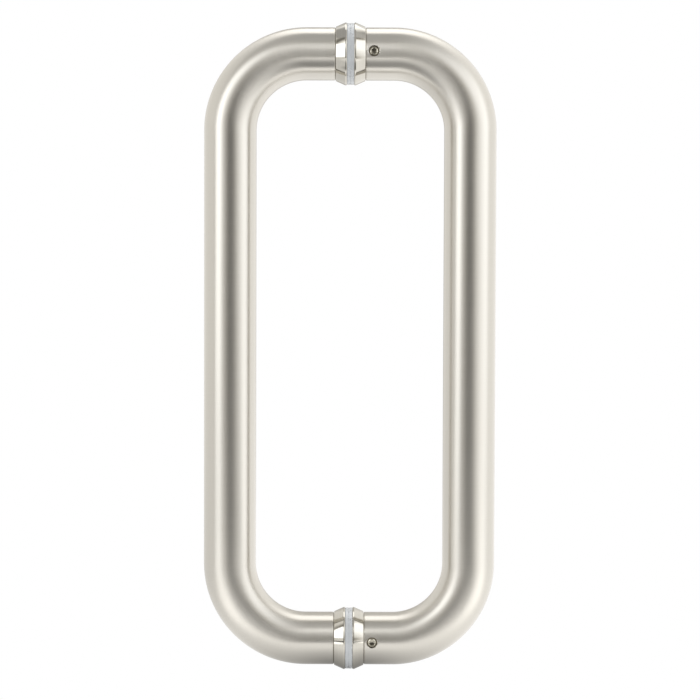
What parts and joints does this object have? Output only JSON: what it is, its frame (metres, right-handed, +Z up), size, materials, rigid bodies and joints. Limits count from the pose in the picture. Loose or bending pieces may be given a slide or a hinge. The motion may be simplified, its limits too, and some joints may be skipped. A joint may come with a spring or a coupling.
{
  "type": "door pull handle",
  "caption": "Back-to-back D-shaped tubular door pulls in satin steel, clamped through a door by hidden bolts, with bevelled rings, clear washers and set screws.",
  "frame": {"origin": "on the clamp plane between the washers, midway between the upper and lower door holes", "axes": "+Z up along the grips, +X along the bolts towards the pull with set screws, -Y the side that the set screws face"},
  "size_m": [0.1396, 0.0296, 0.3096],
  "materials": {
    "satin_steel": "satin brushed stainless steel",
    "polished_steel": "polished stainless steel",
    "clear_plastic": "clear moulded plastic",
    "turned_steel": "turned stainless steel",
    "screw_steel": "bright stainless screw"
  },
  "bodies": {
    "root": {"left_pull": "satin_steel", "right_pull": "satin_steel", "upper_left_ring": "polished_steel", "upper_right_ring": "polished_steel", "lower_left_ring": "polished_steel", "lower_right_ring": "polished_steel", "upper_left_washer": "clear_plastic", "upper_right_washer": "clear_plastic", "lower_left_washer": "clear_plastic", "lower_right_washer": "clear_plastic", "upper_sleeve": "clear_plastic", "lower_sleeve": "clear_plastic", "upper_threaded_plug": "turned_steel", "lower_threaded_plug": "turned_steel", "upper_mounting_post": "turned_steel", "lower_mounting_post": "turned_steel", "upper_through_bolt": "screw_steel", "lower_through_bolt": "screw_steel", "upper_set_screw": "screw_steel", "lower_set_screw": "screw_steel"}
  },
  "joints": []
}
